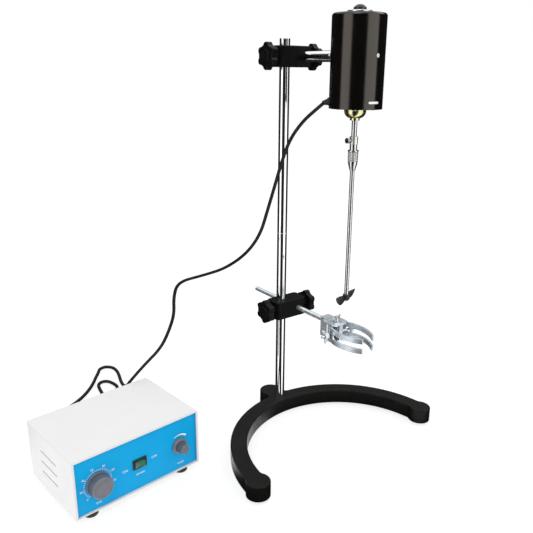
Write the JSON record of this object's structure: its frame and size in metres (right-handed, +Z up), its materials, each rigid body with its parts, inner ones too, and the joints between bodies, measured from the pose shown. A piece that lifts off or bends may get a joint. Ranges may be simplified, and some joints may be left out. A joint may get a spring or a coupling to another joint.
{
  "type": "overhead stirrer",
  "caption": "Bench overhead stirrer: a motor with a chuck, rod and paddle held on a two-section column by star-knob clamp heads, an open ring base, a flask clamp and a separate speed controller",
  "frame": {"origin": "on the bench, under the middle of the footprint of stand and controller, leads left out", "axes": "+Z up along the column; the ring base opens towards -Y, where the motor and the flask clamp reach; the controller stands on the -X side and faces -Y"},
  "size_m": [0.608, 0.5294, 0.6679],
  "materials": {
    "wrinkle_paint": "black wrinkle paint on cast iron",
    "foot_rubber": "dull moulded rubber",
    "column_chrome": "bright chrome plate",
    "head_paint": "satin black paint on a casting",
    "knob_plastic": "satin black moulding",
    "motor_paint": "glossy black enamel",
    "bright_steel": "turned and plated steel",
    "brass": "yellow passivated bearing bowl",
    "dome_plastic": "glossy black cap",
    "laminations": "stacked steel laminations",
    "copper": "enamelled copper winding",
    "carbon": "carbon brush",
    "phenolic": "phenolic board",
    "paddle_metal": "dark cast blades",
    "zinc": "blue-white zinc plate",
    "case_paint": "white powder coat",
    "panel_print": "blue printed panel",
    "control_grey": "grey ribbed moulding",
    "switch_black": "black moulded frame",
    "rocker_green": "green lit rocker",
    "board_green": "circuit board",
    "lead_pvc": "black flexible sheath"
  },
  "bodies": {
    "stand": {"base_casting": "wrinkle_paint", "base_feet": "foot_rubber", "column_nut": "bright_steel", "lower_column": "column_chrome", "case_cover": "case_paint", "case_chassis": "case_paint", "front_panel": "panel_print", "case_feet": "foot_rubber", "case_screws": "bright_steel", "timer_body": "carbon", "speed_control": "bright_steel", "switch_body": "switch_black", "control_board": "board_green", "case_glands": "foot_rubber", "motor_lead": "lead_pvc", "mains_lead": "lead_pvc", "mains_coil": "lead_pvc", "mains_plug": "lead_pvc"},
    "upper_column": {"upper_column": "column_chrome"},
    "upper_head": {"upper_head": "head_paint"},
    "upper_column_knob": {"upper_column_knob": "knob_plastic"},
    "upper_arm_knob": {"upper_arm_knob": "knob_plastic"},
    "motor_arm": {"motor_arm": "column_chrome", "arm_lock_nut": "bright_steel"},
    "motor": {"motor_housing": "motor_paint", "front_screw": "bright_steel", "lower_end_plate": "motor_paint", "end_plate_screws": "bright_steel", "bearing_housing": "brass", "top_bearing_cap": "bright_steel", "top_plug": "dome_plastic", "shaft_bearings": "bright_steel", "stator_core": "laminations", "stator_coils": "copper", "brushes": "carbon", "brush_plate": "phenolic", "motor_gland": "foot_rubber"},
    "spindle": {"motor_shaft": "bright_steel", "rotor_core": "laminations", "commutator": "copper", "coupling_collar": "bright_steel", "chuck_body": "bright_steel", "chuck_jaws": "bright_steel"},
    "chuck_sleeve": {"chuck_sleeve": "bright_steel"},
    "coupling_thumbscrew": {"coupling_thumbscrew": "bright_steel"},
    "stirring_rod": {"stirring_rod": "bright_steel", "paddle": "paddle_metal"},
    "lower_head": {"lower_head": "head_paint"},
    "lower_column_knob": {"lower_column_knob": "knob_plastic"},
    "lower_rod_knob": {"lower_rod_knob": "knob_plastic"},
    "clamp_rod": {"clamp_rod": "zinc"},
    "clamp_bracket": {"clamp_bracket": "zinc", "clamp_bolts": "zinc"},
    "left_jaw": {"left_jaw": "zinc"},
    "right_jaw": {"right_jaw": "zinc"},
    "side_wing_nut": {"side_wing_nut": "zinc"},
    "lock_wing_nut": {"lock_wing_nut": "zinc"},
    "timer_knob": {"timer_knob": "control_grey"},
    "speed_knob": {"speed_knob": "control_grey"},
    "switch_rocker": {"switch_rocker": "rocker_green"}
  },
  "joints": [
    {"name": "column_swivel", "type": "hinge", "parent": "stand", "child": "upper_column", "pos_m": [0.113, 0.044, 0.4], "axis": [0, 0, 1], "range_deg": [-90, 90], "deforming": ["motor_lead"]},
    {"name": "upper_head_height", "type": "slide", "parent": "upper_column", "child": "upper_head", "axis": [0, 0, 1], "range_m": [-0.02, 0.008]},
    {"name": "upper_column_knob_turn", "type": "hinge", "parent": "upper_head", "child": "upper_column_knob", "pos_m": [0.083, 0.044, 0.602], "axis": [1, 0, 0], "range_deg": [0, 330]},
    {"name": "upper_arm_knob_turn", "type": "hinge", "parent": "upper_head", "child": "upper_arm_knob", "pos_m": [0.167, 0.044, 0.602], "axis": [1, 0, 0], "range_deg": [0, 330]},
    {"name": "arm_reach", "type": "slide", "parent": "upper_head", "child": "motor_arm", "axis": [0, 1, 0], "range_m": [-0.008, 0.05]},
    {"name": "motor_roll", "type": "hinge", "parent": "motor_arm", "child": "motor", "pos_m": [0.137, -0.045, 0.602], "axis": [0, 1, 0], "range_deg": [-90, 90]},
    {"name": "spindle_turn", "type": "hinge", "parent": "motor", "child": "spindle", "pos_m": [0.137, -0.088, 0.5], "axis": [0, 0, 1], "continuous": true},
    {"name": "chuck_sleeve_turn", "type": "hinge", "parent": "spindle", "child": "chuck_sleeve", "pos_m": [0.137, -0.088, 0.4648], "axis": [0, 0, 1], "range_deg": [0, 180]},
    {"name": "thumbscrew_turn", "type": "hinge", "parent": "spindle", "child": "coupling_thumbscrew", "pos_m": [0.127, -0.088, 0.48765], "axis": [1, 0, 0], "range_deg": [0, 330]},
    {"name": "rod_drop", "type": "slide", "parent": "spindle", "child": "stirring_rod", "axis": [0, 0, 1], "range_m": [-0.008, 0]},
    {"name": "lower_head_height", "type": "slide", "parent": "stand", "child": "lower_head", "axis": [0, 0, 1], "range_m": [-0.12, 0]},
    {"name": "lower_column_knob_turn", "type": "hinge", "parent": "lower_head", "child": "lower_column_knob", "pos_m": [0.083, 0.044, 0.1955], "axis": [1, 0, 0], "range_deg": [0, 330]},
    {"name": "lower_rod_knob_turn", "type": "hinge", "parent": "lower_head", "child": "lower_rod_knob", "pos_m": [0.167, 0.044, 0.1955], "axis": [1, 0, 0], "range_deg": [0, 330]},
    {"name": "clamp_reach", "type": "slide", "parent": "lower_head", "child": "clamp_rod", "axis": [0, 1, 0], "range_m": [-0.02, 0.05]},
    {"name": "clamp_roll", "type": "hinge", "parent": "clamp_rod", "child": "clamp_bracket", "pos_m": [0.137, -0.045, 0.1955], "axis": [0, 1, 0], "range_deg": [-25, 25]},
    {"name": "left_jaw_swing", "type": "hinge", "parent": "clamp_bracket", "child": "left_jaw", "pos_m": [0.128, -0.062, 0.187], "axis": [0, 0, 1], "range_deg": [-8, 6]},
    {"name": "right_jaw_swing", "type": "hinge", "parent": "clamp_bracket", "child": "right_jaw", "pos_m": [0.146, -0.062, 0.187], "axis": [0, 0, 1], "range_deg": [-6, 8]},
    {"name": "side_wing_nut_turn", "type": "hinge", "parent": "clamp_bracket", "child": "side_wing_nut", "pos_m": [0.1085, -0.077, 0.187], "axis": [1, 0, 0], "range_deg": [0, 330]},
    {"name": "lock_wing_nut_turn", "type": "hinge", "parent": "clamp_bracket", "child": "lock_wing_nut", "pos_m": [0.137, -0.0685, 0.2065], "axis": [0, 0, 1], "range_deg": [0, 330]},
    {"name": "timer_turn", "type": "hinge", "parent": "stand", "child": "timer_knob", "pos_m": [-0.25538, -0.03098, 0.05], "axis": [0.1011, -0.9949, 0], "range_deg": [-300, 0]},
    {"name": "speed_turn", "type": "hinge", "parent": "stand", "child": "speed_knob", "pos_m": [-0.12406, -0.01764, 0.05], "axis": [0.1011, -0.9949, 0], "range_deg": [-270, 0]},
    {"name": "rocker_tilt", "type": "hinge", "parent": "stand", "child": "switch_rocker", "pos_m": [-0.19097, -0.02192, 0.051], "axis": [0, 0, 1], "range_deg": [0, 16]}
  ]
}
